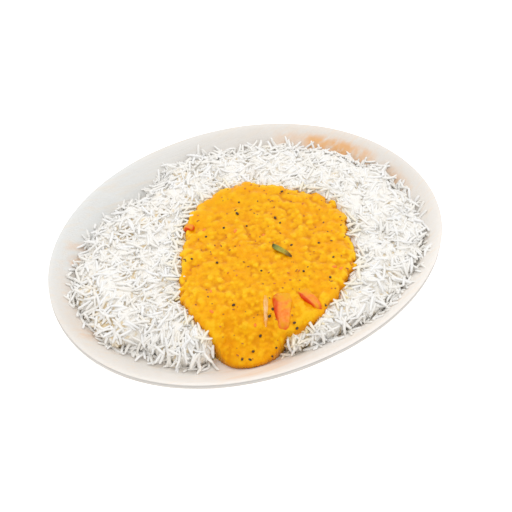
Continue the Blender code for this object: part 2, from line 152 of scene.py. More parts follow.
# Grains that stand out at the rim of the heap and over the edge of the curry
WHOLE_GRAINS = ("long_rice_grains", "short_rice_grains")
RIM_GRAINS = 130
RIM_LEAN = (-0.3, 0.4)
CURRY_RIM_GRAINS = 130
CURRY_RIM_LEAN = (-0.1, 0.3)
CURRY_RIM_STAIN = 0.35
STAIN_SHARES = (0.3, 1.0)
RIM_REACH = 0.004
RIM_STRAY = 0.9
RIM_LIFT = 0.35
LEAN_LIFT = 0.25
# Loose grains round the foot of the heap
FOOT_GRAINS = 300
FOOT_REACH = 0.0028
FOOT_LIFT = 0.4
# Grains down the steep sides: steepness where they start, steepest grain, how many a square metre
STEEP_SIDE = 0.6
STEEPEST_SIDE = 1.6
SIDE_GRAINS = 190000
SIDE_STRAY = 0.8
SIDE_LIFT = (-0.3, 0.3)
SIDE_STICKS_UP = 0.0011
# How far outside the curry the side grains and the rim grains start
SIDE_FROM_CURRY = 0.0012
RIM_FROM_CURRY = 0.004
# Core that the grains lie on: how far below the top of the heap, and in from its edge
CORE_DEPTH = 0.0014
CORE_REACH = 0.0020
CORE_INSET = 0.003
CORE_EDGE = 0.6
# Mass of rice between the grains: how far it fills the hollows between them, and where it ends
BED_PITCH = 0.0008
BED_FILL = 0.0006
BED_INSET = 0.0007
SHELL_DEPTH = 0.0008
LEAST_BED = 0.0008
BED_REACH = 0.003
BED_BEYOND = 0.0012
BED_UNDER_CURRY = 0.001
BED_OVER_PLATE = 0.0001
# Gaps in the heap, more of them to the left: waves as width and height, and how deep they go
GAP_WAVES = ((0.0028, 1.0), (0.0140, 0.7))
GAP_START = 0.20
GAP_SHARPNESS = 4.0
FEWER_GAPS_RIGHT = 1.5
GAP_DEPTH = 0.0024
# Hollows and swells of the heap, as width and height
HEAP_WAVES = ((0.0130, 0.0009), (0.0060, 0.0006))
HEAP_EDGE = 0.008
HEAP_MARGIN = 0.0016
# How far the rice goes on under the curry, and how the curry stains it near its edge
RICE_UNDER_CURRY = 0.010
UNDER_SHARE = 0.9
RICE_STAIN = 0.9
STAIN_AT_EDGE = 0.55
STAIN_WIDTH = 0.003

# Curry
CURRY_PITCH = 0.0005
CURRY_DROP = 0.0006
LENTILS = 4200
LENTIL_SIZE = (0.0007, 0.0022)
LENTIL_RISE = (0.0001, 0.0005)
LENTIL_LIFT = (-0.0004, 0.0001)
LENTIL_OVAL = (0.65, 0.95)
# How much of the lentils' shape stays sharp and how much is softened
LENTIL_SHARP = 0.45
LENTIL_SOFT = 0.55
# Cells of the running means for the level under the toppings and for the lumps, and a lump's height; the
# lumps give the curry's tone and its painted light and shade
LEVEL_BLUR = 5
LUMP_BLUR = 4
LUMP_HEIGHT = 0.0007
CURRY_OVER_PLATE = 0.0003
# The curry is smoother towards its back: how much, and how far back it is full
SMOOTHER_BACK = 0.7
SMOOTH_FROM = 0.045
CURRY_WAVES = ((0.0026, 0.0005), (0.0052, 0.0008), (0.0130, 0.0007))
# How ragged the curry's edge is: width and depth of its bays
EDGE_BAYS = ((0.0110, 0.0034), (0.0045, 0.0024), (0.0018, 0.0010))
EDGE_DRAW_IN = 0.0002
EDGE_REACH = 0.009
# How far in the curry rounds off towards its edge, and how far down
EDGE_ROUND = 0.0036
EDGE_DROP = 0.0020
# Lip at the front of the curry: its direction in degrees, where it starts and where it is full, and how much
# painted shade the front slope gets
FRONT_DIRECTION = 240.0
FRONT_START = 0.040
FRONT_END = 0.078
FRONT_PAINTED_SHADE = 0.4

# Mustard seeds in plan
SEED_RADIUS = 0.00092
SEEDS = (
    (0.011, 0.029), (0.005, 0.009), (0.024, -0.001), (0.024, 0.005), (-0.022, 0.014),
    (-0.039, 0.002), (-0.044, 0.009), (-0.027, -0.009), (-0.007, -0.029), (0.015, -0.043),
    (0.036, -0.028), (0.026, -0.056), (0.037, -0.043), (-0.010, -0.072), (-0.020, -0.060),
    (-0.016, -0.057), (-0.030, -0.066), (-0.038, -0.071), (-0.042, -0.074), (-0.0460, -0.0715),
    (-0.029, -0.078), (-0.025, -0.076), (-0.035, -0.043), (-0.009, 0.014), (0.005, 0.021),
    (0.041, 0.024), (0.020, -0.021), (0.013, -0.071), (-0.010, -0.075), (-0.029, 0.031),
)
SPECKS = 150
SPECK_SIZE = (0.00025, 0.00055)
SPECK_STRETCH = (1.0, 2.2)

# Pieces lying in the curry: node, middle, size, turn about +Z in degrees, how deep they are sunk
TOPPINGS = {
    "tomato_wedge_piece": ("tomato_wedge", (-0.0105, -0.0615), (0.028, 0.0130, 0.0040), 58, 0.0014),
    "tomato_strip_piece": ("tomato_piece", (0.0080, -0.0620), (0.019, 0.0085, 0.0030), 97, 0.0013),
    "tomato_bit_piece": ("tomato_bit", (-0.0265, 0.0285), (0.0075, 0.0058, 0.0028), 120, 0.0009),
    "onion_strip_piece": ("onion_strip", (-0.0190, -0.0545), (0.022, 0.0034, 0.0022), 58, 0.0010),
}
TOPPING_TAPER = 0.35
PIECE_RINGS = (
    (0.15, 0.86), (0.32, 0.86), (0.48, 0.90), (0.62, 0.96), (0.74, 1.00), (0.84, 0.92),
    (0.92, 0.72), (0.98, 0.42), (1.00, 0.10), (0.97, -0.15), (0.80, -0.20), (0.40, -0.20),
)
PIECE_SIDES = 48
PIECE_FLAT_SIDE = 0.7
# How squared off the pieces are, and the height and the waves per metre of their lumps
PIECE_POWER = 0.65
PIECE_LUMPS = 0.45
LUMP_WAVES = 260.0
# Tomato flecks in plan, with their turn in degrees
FLECKS = (
    (0.036, -0.053, 20), (-0.042, -0.028, 70), (-0.049, -0.041, 110), (-0.004, 0.008, 40),
    (0.033, -0.050, 150), (-0.020, 0.020, 10), (0.010, -0.004, 80), (-0.030, -0.060, 60),
)
FLECK_SIZE = (0.0017, 0.0010, 0.0006)

# Curry leaf
LEAF_START = (0.0095, -0.0150)
LEAF_END = (0.0145, -0.0300)
LEAF_WIDTH = 0.0042
LEAF_BODY = 0.0004
LEAF_COLUMNS = 34
LEAF_ROWS = 9
LEAF_WAVE = 0.0005
LEAF_FOLD = 0.0009


# Camera and light

def make_camera():
    """Stand the camera where the photograph was taken from."""
    back = direction(CAMERA_TURN, CAMERA_RISE)
    data = bpy.data.cameras.new("camera")
    data.lens = CAMERA_LENS
    data.sensor_width = CAMERA_SENSOR
    data.clip_start = CAMERA_NEAR
    camera = bpy.data.objects.new("camera", data)
    camera.location = Vector(CAMERA_TARGET) + CAMERA_DISTANCE * back
    camera.rotation_euler = (-back).to_track_quat("-Z", "Y").to_euler()
    bpy.context.collection.objects.link(camera)
    bpy.context.scene.camera = camera


def direction(turn, rise):
    """Unit vector from the plate outwards; turn 0 is the front, both in degrees."""
    turn, rise = math.radians(turn), math.radians(rise)
    return Vector((math.sin(turn) * math.cos(rise), -math.cos(turn) * math.cos(rise), math.sin(rise)))


def add_key_light():
    """Large soft lamp nearly overhead, a little behind the plate."""
    data = bpy.data.lights.new("key", "AREA")
    data.size = KEY_SIZE
    data.energy = KEY_POWER
    light = bpy.data.objects.new("key", data)
    outwards = direction(KEY_TURN, KEY_RISE)
    light.location = KEY_DISTANCE * outwards
    light.rotation_euler = (-outwards).to_track_quat("-Z", "Y").to_euler()
    bpy.context.collection.objects.link(light)


def make_studio():
    """White surroundings, one large soft lamp and a pale floor."""
    scene = bpy.context.scene
    scene.view_settings.view_transform = "Standard"
    world = bpy.data.worlds.new("studio")
    world.use_nodes = True
    background = world.node_tree.nodes["Background"]
    background.inputs["Color"].default_value = (1.0, 1.0, 1.0, 1.0)
    background.inputs["Strength"].default_value = SKY_STRENGTH
    scene.world = world
    add_key_light()
    material, shader = new_material("pale_floor", (0.96, 0.96, 0.96), 0.9)
    shader.inputs["Emission Color"].default_value = (1.0, 1.0, 1.0, 1.0)
    shader.inputs["Emission Strength"].default_value = FLOOR_GLOW
    mesh = bpy.data.meshes.new("floor")
    half = FLOOR_SIZE / 2
    corners = [(-half, -half, 0), (half, -half, 0), (half, half, 0), (-half, half, 0)]
    mesh.from_pydata(corners, [], [(0, 1, 2, 3)])
    mesh.materials.append(material)
    floor = bpy.data.objects.new("floor", mesh)
    bpy.context.collection.objects.link(floor)


# Material helpers

def new_material(name, colour, roughness):
    """Principled material and its shader."""
    material = bpy.data.materials.new(name)
    material.use_nodes = True
    shader = material.node_tree.nodes["Principled BSDF"]
    shader.inputs["Base Color"].default_value = (*colour, 1.0)
    shader.inputs["Roughness"].default_value = roughness
    return material, shader


def add_node(material, kind, **values):
    made = material.node_tree.nodes.new(kind)
    for name, value in values.items():
        setattr(made, name, value)
    return made


def link(material, source, target):
    material.node_tree.links.new(source, target)


def noise_field(material, scale, detail=3.0, stretch=(1.0, 1.0, 1.0)):
    """Noise over object coordinates; scale is in waves per metre."""
    coordinates = add_node(material, "ShaderNodeTexCoord")
    mapping = add_node(material, "ShaderNodeMapping")
    mapping.inputs["Scale"].default_value = stretch
    link(material, coordinates.outputs["Object"], mapping.inputs["Vector"])
    field = add_node(material, "ShaderNodeTexNoise")
    field.inputs["Scale"].default_value = scale
    field.inputs["Detail"].default_value = detail
    link(material, mapping.outputs["Vector"], field.inputs["Vector"])
    return field.outputs["Fac"]


def attribute(material, name):
    """Number that the mesh carries at its points."""
    return add_node(material, "ShaderNodeAttribute", attribute_name=name).outputs["Fac"]


def ramp(material, factor, stops):
    """Colours along a factor; stops are pairs of position and colour."""
    made = add_node(material, "ShaderNodeValToRGB")
    elements = made.color_ramp.elements
    while len(elements) < len(stops):
        elements.new(1.0)
    for element, (position, colour) in zip(elements, stops):
        element.position = position
        element.color = (*colour, 1.0)
    link(material, factor, made.inputs["Fac"])
    return made.outputs["Color"]


def mix(material, factor, first, second, blend="MIX"):
    """Second colour over the first by the factor; each may be a socket or a value."""
    made = add_node(material, "ShaderNodeMix", data_type="RGBA", blend_type=blend)
    inputs = [socket for socket in made.inputs if socket.enabled]
    for socket, value in zip(inputs, (factor, first, second)):
        if isinstance(value, bpy.types.NodeSocket):
            link(material, value, socket)
        elif isinstance(value, float):
            socket.default_value = value
        else:
            socket.default_value = (*value, 1.0)
    return [socket for socket in made.outputs if socket.enabled][0]


def span(material, factor, low, high, to_low=0.0, to_high=1.0):
    """Factor from low to high, spread over to_low to to_high and clamped."""
    made = add_node(material, "ShaderNodeMapRange")
    link(material, factor, made.inputs["Value"])
    made.inputs["From Min"].default_value = low
    made.inputs["From Max"].default_value = high
    made.inputs["To Min"].default_value = to_low
    made.inputs["To Max"].default_value = to_high
    return made.outputs["Result"]


def add_bump(material, shader, height, distance, strength=1.0):
    bump = add_node(material, "ShaderNodeBump")
    bump.inputs["Distance"].default_value = distance
    bump.inputs["Strength"].default_value = strength
    link(material, height, bump.inputs["Height"])
    link(material, bump.outputs["Normal"], shader.inputs["Normal"])


# Materials

def palm_leaf_material():
    """Pressed leaf: pale streaks along the fibres, with beige and tan stains, painted light towards the front
    and grey at the back left.
    """
    material, shader = new_material("palm_leaf", (0.78, 0.72, 0.66), 0.55)
    streaks = noise_field(material, 9.0, 4.0, (1.0, 34.0, 20.0))
    fibres = noise_field(material, 40.0, 3.0, (1.0, 44.0, 30.0))
    pale = ramp(material, streaks, (
        (0.30, (0.920, 0.865, 0.800)),
        (0.50, (0.910, 0.875, 0.835)),
        (0.70, (0.935, 0.850, 0.760)),
    ))
    fine = ramp(material, fibres, ((0.3, (0.955, 0.945, 0.930)), (0.7, (1.0, 1.0, 1.0))))
    grained = mix(material, 0.8, pale, fine, "MULTIPLY")
    # Painted light: full brightness towards the front, against the shade there; greyer and cooler at the back
    # left.
    tint = ramp(material, attribute(material, "painted_light_and_grey"), (
        (0.0, (1.00, 1.00, 1.00)),
        (0.5, (0.885, 0.880, 0.872)),
        (1.0, (0.865, 0.910, 0.945)),
    ))
    toned = mix(material, 1.0, grained, tint, "MULTIPLY")
    patchy = noise_field(material, 60.0, 4.0, (1.0, 5.0, 3.0))
    stain = add_node(material, "ShaderNodeMath", operation="MULTIPLY")
    link(material, attribute(material, "stain"), stain.inputs[0])
    link(material, span(material, patchy, 0.28, 0.52), stain.inputs[1])
    tan = mix(material, stain.outputs[0], toned, (0.84, 0.48, 0.22))
    link(material, tan, shader.inputs["Base Color"])
    add_bump(material, shader, fibres, 0.0003, 0.6)
    return material


def cut_edge_painted_shade_material():
    """Cut rim: painted darker, as shade on the rim's edge, with fine layers."""
    material, shader = new_material("palm_leaf_edge_painted_shade", (0.62, 0.58, 0.54), 0.7)
    layers = noise_field(material, 60.0, 2.0, (1.0, 1.0, 30.0))
    tone = ramp(material, layers, ((0.3, (0.56, 0.52, 0.48)), (0.7, (0.68, 0.65, 0.61))))
    link(material, tone, shader.inputs["Base Color"])
    add_bump(material, shader, layers, 0.0002, 0.6)
    return material


def rice_material():
    """Boiled basmati: white, faintly warmer or cooler from grain to grain."""
    material, shader = new_material("boiled_rice", (0.80, 0.79, 0.77), 0.42)
    tone = ramp(material, attribute(material, "shade"), (
        (0.0, (0.930, 0.900, 0.848)),
        (0.5, (0.935, 0.920, 0.892)),
        (1.0, (0.935, 0.930, 0.925)),
    ))
    streaks = noise_field(material, 420.0, 2.0)
    fine = ramp(material, streaks, ((0.3, (0.96, 0.96, 0.95)), (0.7, (1.0, 1.0, 1.0))))
    toned = mix(material, 0.7, tone, fine, "MULTIPLY")
    # Grains lying in the heap's gaps are painted tan, as shade between the grains.
    deep = mix(material, attribute(material, "depth"), toned, (0.91, 0.81, 0.64))
    stained = mix(material, attribute(material, "stain"), deep, (0.88, 0.73, 0.38))
    link(material, stained, shader.inputs["Base Color"])
    add_bump(material, shader, streaks, 0.0001, 0.4)
    return material


def rice_core_painted_shade_material():
    """Mass of rice seen between the grains: painted warmer, as shade between the grains, and painted tan in
    its gaps, where the shade is deepest.
    """
    material, shader = new_material("rice_bed", (0.62, 0.52, 0.38), 0.6)
    field = noise_field(material, 260.0, 3.0)
    tone = ramp(material, field, ((0.35, (0.92, 0.880, 0.810)), (0.65, (0.940, 0.920, 0.880))))
    with_painted_gap_shade = mix(material, attribute(material, "painted_gap_shade"), tone, (0.80, 0.65, 0.42))
    link(material, with_painted_gap_shade, shader.inputs["Base Color"])
    add_bump(material, shader, field, 0.0006, 0.8)
    return material


def curry_material():
    """Thick lentil curry: yellow lumps in a deeper orange sauce, wet on top; painted light on the lump tops,
    and painted shade in the lows and on the front slope.
    """
    material, shader = new_material("lentil_curry", (0.88, 0.42, 0.01), 0.27)
    # Lump tops lighter and lows deeper orange: yellow lentils in sauce, with painted light on the tops and
    # painted shade in the lows.
    lumps = ramp(material, attribute(material, "lump_tone_and_painted_light"), (
        (0.00, (0.68, 0.235, 0.000)),
        (0.35, (0.84, 0.365, 0.000)),
        (0.70, (0.91, 0.455, 0.002)),
        (1.00, (0.95, 0.550, 0.012)),
    ))
    patches = noise_field(material, 75.0, 3.0)
    tinted = mix(material, span(material, patches, 0.45, 0.62, 0.0, 0.6), lumps, (0.90, 0.34, 0.002))
    specks = noise_field(material, 900.0, 2.0)
    speckled = mix(material, span(material, specks, 0.56, 0.70, 0.0, 0.35), tinted, (0.62, 0.24, 0.004))
    # The front slope down to the lip is painted deeper orange, as painted shade on it.
    front = mix(material, attribute(material, "front"), speckled, (0.88, 0.370, 0.002))
    link(material, front, shader.inputs["Base Color"])
    shader.inputs["Specular IOR Level"].default_value = 0.32
    shader.inputs["Specular Tint"].default_value = (1.0, 0.78, 0.25, 1.0)
    add_bump(material, shader, noise_field(material, 1100.0, 3.0), 0.00012, 0.5)
    return material


def seed_material():
    """Fried mustard seed: near black, with a brown bloom."""
    material, shader = new_material("mustard_seed", (0.03, 0.012, 0.006), 0.35)
    field = noise_field(material, 1200.0, 2.0)
    tone = ramp(material, field, ((0.35, (0.030, 0.013, 0.006)), (0.65, (0.110, 0.045, 0.012))))
    link(material, tone, shader.inputs["Base Color"])
    return material


def speck_material():
    """Spice specks in the curry, rust to brown."""
    material, shader = new_material("spice_speck", (0.35, 0.10, 0.01), 0.5)
    tone = ramp(material, attribute(material, "shade"), (
        (0.0, (0.16, 0.05, 0.008)),
        (0.5, (0.50, 0.14, 0.006)),
        (1.0, (0.70, 0.17, 0.02)),
    ))
    link(material, tone, shader.inputs["Base Color"])
    return material


def tomato_material():
    """Cooked tomato: red skin at its edge, paler orange flesh, filmed with curry."""
    material, shader = new_material("tomato", (0.80, 0.16, 0.02), 0.25)
    flesh = ramp(material, noise_field(material, 520.0, 3.0), (
        (0.3, (0.93, 0.190, 0.020)),
        (0.7, (0.97, 0.300, 0.060)),
    ))
    skinned = mix(material, attribute(material, "skin"), flesh, (0.72, 0.050, 0.006))
    filmed = mix(material, attribute(material, "film"), skinned, (0.84, 0.38, 0.006))
    link(material, filmed, shader.inputs["Base Color"])
    shader.inputs["Specular Tint"].default_value = (1.0, 0.7, 0.3, 1.0)
    add_bump(material, shader, noise_field(material, 700.0, 3.0), 0.0002, 0.4)
    return material


def onion_material():
    """Soft fried onion, peach and half clear."""
    material, shader = new_material("onion", (0.90, 0.47, 0.15), 0.3)
    field = noise_field(material, 300.0, 2.0, (1.0, 1.0, 1.0))
    tone = ramp(material, field, ((0.3, (0.90, 0.42, 0.09)), (0.7, (0.95, 0.56, 0.24))))
    filmed = mix(material, attribute(material, "film"), tone, (0.84, 0.40, 0.008))
    link(material, filmed, shader.inputs["Base Color"])
    shader.inputs["Coat Weight"].default_value = 0.4
    shader.inputs["Coat Roughness"].default_value = 0.15
    shader.inputs["Subsurface Weight"].default_value = 0.2
    shader.inputs["Subsurface Radius"].default_value = (1.0, 0.6, 0.3)
    shader.inputs["Subsurface Scale"].default_value = 0.0015
    return material


def leaf_material():
    """Fried curry leaf: olive with a greener side and a brown tip."""
    material, shader = new_material("curry_leaf", (0.10, 0.13, 0.02), 0.35)
    tone = ramp(material, attribute(material, "along"), (
        (0.00, (0.110, 0.110, 0.016)),
        (0.25, (0.300, 0.320, 0.022)),
        (0.55, (0.540, 0.430, 0.022)),
        (0.80, (0.330, 0.180, 0.020)),
        (1.00, (0.110, 0.050, 0.012)),
    ))
    veins = noise_field(material, 600.0, 2.0)
    fine = ramp(material, veins, ((0.3, (0.7, 0.7, 0.7)), (0.7, (1.0, 1.0, 1.0))))
    link(material, mix(material, 1.0, tone, fine, "MULTIPLY"), shader.inputs["Base Color"])
    add_bump(material, shader, veins, 0.0002, 0.5)
    return material


# Mesh helpers

def add_piece(name, points, faces, material):
    """Smooth object that rides on the one body."""
    mesh = bpy.data.meshes.new(name)
    mesh.from_pydata([tuple(map(float, point)) for point in points], [], faces)
    mesh.validate()
    mesh.shade_smooth()
    mesh.materials.append(material)
    piece = bpy.data.objects.new(name, mesh)
    bpy.context.collection.objects.link(piece)
    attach(piece, "root")
    return piece


def set_numbers(piece, name, values):
    """One number per point, which the material reads by its name."""
    layer = piece.data.attributes.new(name, "FLOAT", "POINT")
    layer.data.foreach_set("value", np.asarray(values, dtype=np.float32))


def ring_faces(rings, sides, first_pole, last_pole):
    """Faces through rings of equal size, with a pole point before or after them."""
    start = 1 if first_pole else 0
    faces = []
    if first_pole:
        faces += [(0, start + (i + 1) % sides, start + i) for i in range(sides)]
    for ring in range(rings - 1):
        near = start + ring * sides
        far = near + sides
        for i in range(sides):
            j = (i + 1) % sides
            faces.append((near + i, near + j, far + j, far + i))
    if last_pole:
        near = start + (rings - 1) * sides
        pole = start + rings * sides
        faces += [(near + i, near + (i + 1) % sides, pole) for i in range(sides)]
    return faces


class Ground:
    """Heights over the plan on a square grid."""

    def __init__(self, pitch=GRID_PITCH, level=-1.0):
        self.pitch = pitch
        self.columns = int(2 * GRID_HALF[0] / pitch) + 1
        self.rows = int(2 * GRID_HALF[1] / pitch) + 1
        self.heights = np.full((self.columns, self.rows), level)

    def place(self, column, row):
        return column * self.pitch - GRID_HALF[0], row * self.pitch - GRID_HALF[1]

    def cells(self, x, y):
        column = np.rint((np.asarray(x) + GRID_HALF[0]) / self.pitch).astype(int)
        row = np.rint((np.asarray(y) + GRID_HALF[1]) / self.pitch).astype(int)
        return np.clip(column, 0, self.columns - 1), np.clip(row, 0, self.rows - 1)

    def at(self, x, y):
        return self.heights[self.cells(x, y)]

    def raise_to(self, x, y, z):
        np.maximum.at(self.heights, self.cells(x, y), z)


def top_of(solid, pitch):
    """Heights of a solid seen from above, and -1 where there is none."""
    mesh = solid.data
    tree = BVHTree.FromPolygons([v.co for v in mesh.vertices], [tuple(p.vertices) for p in mesh.polygons])
    ground = Ground(pitch)
    down = Vector((0, 0, -1))
    for column in range(ground.columns):
        for row in range(ground.rows):
            x, y = ground.place(column, row)
            hit = tree.ray_cast((x, y, RAY_HEIGHT), down)[0]
            if hit is not None:
                ground.heights[column, row] = hit.z
    return ground


def blurred(values, width):
    """Round running mean over a plan grid."""
    result = values.astype(float)
    size = 2 * width + 1
    for axis in (0, 1, 0, 1):
        count = result.shape[axis]
        before = np.repeat(result.take([0], axis), width + 1, axis)
        after = np.repeat(result.take([-1], axis), width, axis)
        total = np.cumsum(np.concatenate([before, result, after], axis), axis)
        result = (total.take(range(size, size + count), axis) - total.take(range(count), axis)) / size
    return result


def relief(ground, waves, seed):
    """Sum of smooth random waves over a plan grid, each given as width and height."""
    total = np.zeros_like(ground.heights)
    for column in range(ground.columns):
        for row in range(ground.rows):
            x, y = ground.place(column, row)
            for width, height in waves:
                total[column, row] += height * noise.noise((x / width, y / width, seed))
    return total


def lowest_near(values, width):
    """Lowest value within a square of cells round each cell."""
    for axis in (0, 1):
        values = np.minimum.reduce([np.roll(values, step, axis) for step in range(-width, width + 1)])
    return values


def spread_out(ground, covered):
    """Heights of the covered cells, carried on a little way beyond their edge."""
    heights = np.where(covered, ground.heights, 0.0)
    result = heights
    known = covered
    for width in (2, 6, 18):
        share = blurred(covered.astype(float), width)
        carried = blurred(heights, width) / np.maximum(share, 1e-6)
        result = np.where(known, result, np.where(share > 1e-3, carried, 0.0))
        known = known | (share > 1e-3)
    return result


def edge_distance(covered, pitch, reach):
    """Rough distance in from the edge of the covered cells, good to within the reach."""
    width = int(reach / pitch)
    return (blurred(covered.astype(float), width) - 0.5) * 2.0 * width * pitch


def heap_piece(name, ground, covered, floor, material):
    """Closed mesh under the covered cells of a height grid, down to the floor at its edge."""
    cells = covered[:-1, :-1] & covered[1:, :-1] & covered[:-1, 1:] & covered[1:, 1:]
    crossing = cells[:-1, :-1] & cells[1:, 1:] & ~cells[1:, :-1] & ~cells[:-1, 1:]
    cells[1:, :-1] |= crossing
    crossing = cells[1:, :-1] & cells[:-1, 1:] & ~cells[:-1, :-1] & ~cells[1:, 1:]
    cells[:-1, :-1] |= crossing
    used = np.zeros_like(covered)
    for shift_x in (0, 1):
        for shift_y in (0, 1):
            used[shift_x:shift_x + cells.shape[0], shift_y:shift_y + cells.shape[1]] |= cells
    spots = np.argwhere(used)
    number = np.full(used.shape, -1)
    number[used] = np.arange(len(spots))
    top, bottom = [], []
    for column, row in spots:
        x, y = ground.place(column, row)
        z = float(ground.heights[column, row])
        top.append((x, y, z))
        bottom.append((x, y, min(floor(x, y), z - GRID_PITCH)))
    faces = []
    for column, row in np.argwhere(cells):
        corners = ((column, row), (column + 1, row), (column + 1, row + 1), (column, row + 1))
        faces.append(tuple(int(number[corner]) for corner in corners))
    faces += closing_faces(faces, len(top))
    return add_piece(name, top + bottom, faces, material)


def closing_faces(faces, count):
    """Faces under a grid of faces, and walls round its edge; the lower points follow the upper ones."""
    edges = {(face[i - 1], face[i]) for face in faces for i in range(len(face))}
    under = [tuple(count + point for point in reversed(face)) for face in faces]
    walls = [(b, a, count + a, count + b) for a, b in sorted(edges) if (b, a) not in edges]
    return under + walls


# Plate

def rim_points():
    """The plate's rim seen from above: an oval a little wider towards the front."""
    ring = []
    for side in range(PLATE_SIDES):
        angle = math.tau * side / PLATE_SIDES
        along = math.copysign(abs(math.cos(angle)) ** (2.0 / OVAL_POWER), math.cos(angle))
        across = math.copysign(abs(math.sin(angle)) ** (2.0 / OVAL_POWER), math.sin(angle))
        x = 0.5 * PLATE_LENGTH * along * (1.0 - FRONT_WIDENING * across)
        ring.append(Vector((x, 0.5 * PLATE_WIDTH * across)))
    return ring


def inward_of(ring):
    """Direction square to the rim, into the plate, at each of its points."""
    directions = []
    for i in range(len(ring)):
        edge = ring[(i + 1) % len(ring)] - ring[i - 1]
        directions.append(Vector((-edge.y, edge.x)).normalized())
    return directions


def smooth_profile(profile):
    """Profile with points between, rounded at its corners."""
    dense = []
    last = len(profile) - 1
    for i in range(last):
        before, start = profile[max(i - 1, 0)], profile[i]
        end, after = profile[i + 1], profile[min(i + 2, last)]
        for step in range(PROFILE_STEPS):
            t = step / PROFILE_STEPS
            point = []
            for a, b, c, d in zip(before, start, end, after):
                curve = 2 * b + (c - a) * t + (2 * a - 5 * b + 4 * c - d) * t * t
                point.append(0.5 * (curve + (3 * b - a - 3 * c + d) * t ** 3))
            dense.append(tuple(point))
    return dense + [profile[-1]]


def stain_at(x, y, inset):
    """How tan the leaf is at a place: less near the rim."""
    most = 0.0
    for (middle_x, middle_y), half_length, half_width, strength in STAINS:
        off = math.hypot((x - middle_x) / half_length, (y - middle_y) / half_width)
        most = max(most, strength * clamp(STAIN_CORE - STAIN_FADE * off))
    return most * max(LEAST_STAIN, min(1.0, (inset - STAIN_START) / STAIN_INSET))


def clamp(amount):
    """Amount kept between 0 and 1."""
    return max(0.0, min(1.0, amount))


def painted_light_and_grey_at(x, y):
    """How far the leaf is lifted or greyed at a place: painted light in front, where shade falls, and grey at
    its back left.
    """
    from_front = clamp(1.0 + y / PAINTED_LIGHT_FRONT)
    to_back_left = clamp(y / GREY_BACK) * clamp(0.5 - x / GREY_LEFT)
    return 0.5 * from_front + 0.5 * to_back_left


def make_plate():
    """Pressed palm leaf: smooth wall, wavy fibres and a cut rim."""
    rim = rim_points()
    inward = inward_of(rim)
    inner = smooth_profile(INNER_PROFILE)
    under = smooth_profile(UNDER_PROFILE)
    points = [(0.0, 0.0, inner[0][1])]
    stains, painted_lights_and_greys = [0.0], [0.0]
    inside_points = len(inner) * PLATE_SIDES + 1
    along, across, up = FIBRE_WAVES
    for inset, height in inner + under:
        share = max(0.0, 1.0 - inset / RIM_WAVE_REACH)
        on_wall = FIBRE_INSETS[0] < inset < FIBRE_INSETS[1] and height > LOWEST_FIBRES
        for i, point in enumerate(rim):
            x, y = point + inset * inward[i]
            wave = RIM_WAVE * share * noise.noise((x * RIM_WAVES, y * RIM_WAVES, 3.0))
            fibre = FIBRE_RELIEF * noise.noise((x * along, y * across, height * up))
            z = height + min(0.0, wave) + (fibre if on_wall else 0.0)
            points.append((x, y, max(z, 0.0)))
            stains.append(stain_at(x, y, inset) * (1.0 if len(points) <= inside_points else UNDER_STAIN))
            # Painted light in front, grey at the back left.
            painted_lights_and_greys.append(painted_light_and_grey_at(x, y))
    points.append((0.0, 0.0, 0.0))
    stains.append(0.0)
    painted_lights_and_greys.append(0.0)
    rings = len(inner) + len(under)
    faces = ring_faces(rings, PLATE_SIDES, True, True)
    plate = add_piece("pressed_leaf_plate", points, faces, palm_leaf_material())
    plate.data.materials.append(cut_edge_painted_shade_material())
    first = len(inner) * PLATE_SIDES
    for polygon in plate.data.polygons[first:first + PLATE_SIDES]:
        polygon.material_index = 1
    set_numbers(plate, "stain", stains)
    set_numbers(plate, "painted_light_and_grey", painted_lights_and_greys)
    fix_normals(plate)
    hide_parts("plate")


def fix_normals(piece):
    """Turn all faces outwards."""
    bm = bmesh.new()
    bm.from_mesh(piece.data)
    bmesh.ops.recalc_face_normals(bm, faces=bm.faces)
    bm.to_mesh(piece.data)
    bm.free()


# Rice

def grain_template():
    """Points of a straight grain: share of its length, and places across it."""
    angles = [math.tau * side / GRAIN_SIDES for side in range(GRAIN_SIDES)]
    return [(along, size * math.cos(a), size * math.sin(a)) for along, size in GRAIN_RINGS for a in angles]


class Grains:
    """Rice grains of one kind, gathered into one mesh."""

    template = [(0.0, 0.0, 0.0)] + grain_template() + [(1.0, 0.0, 0.0)]
    faces_of_one = ring_faces(len(GRAIN_RINGS), GRAIN_SIDES, True, True)

    def __init__(self, name):
        self.name = name
        self.points = []
        self.faces = []
        self.shades = []
        self.stains = []
        self.painted_gap_shades = []

    def add(self, rng, middle, heading, slope, length, width, stain, depth=0.0):
        """Add a bent grain; its heading is in plan and its slope is rise over run."""
        along = Vector((math.cos(heading), math.sin(heading), slope)).normalized()
        side = Vector((-math.sin(heading), math.cos(heading), 0.0))
        up = along.cross(side)
        roll = rng.uniform(0.0, math.tau)
        bow = side * math.cos(roll) + up * math.sin(roll)
        bend = rng.uniform(0.1, 1.0) * GRAIN_BEND * (length / LONGEST_GRAIN) ** 2
        first = len(self.points)
        for share, a, b in self.template:
            arch = bend * (0.4 - 4.0 * (share - 0.5) ** 2)
            point = middle + along * (share - 0.5) * length + bow * arch
            self.points.append(point + side * a * 0.5 * width + up * b * 0.5 * width * GRAIN_THICKNESS)
        self.faces += [tuple(first + i for i in face) for face in self.faces_of_one]
        self.shades += [rng.uniform(0.0, 1.0)] * len(self.template)
        self.stains += [stain] * len(self.template)
        # depth is how much painted tan shade the grain gets, as shade in the heap's gaps.
        self.painted_gap_shades += [depth] * len(self.template)

    def make(self, material):
        piece = add_piece(self.name, self.points, self.faces, material)
        fix_normals(piece)
        set_numbers(piece, "shade", self.shades)
        set_numbers(piece, "stain", self.stains)
        set_numbers(piece, "depth", self.painted_gap_shades)


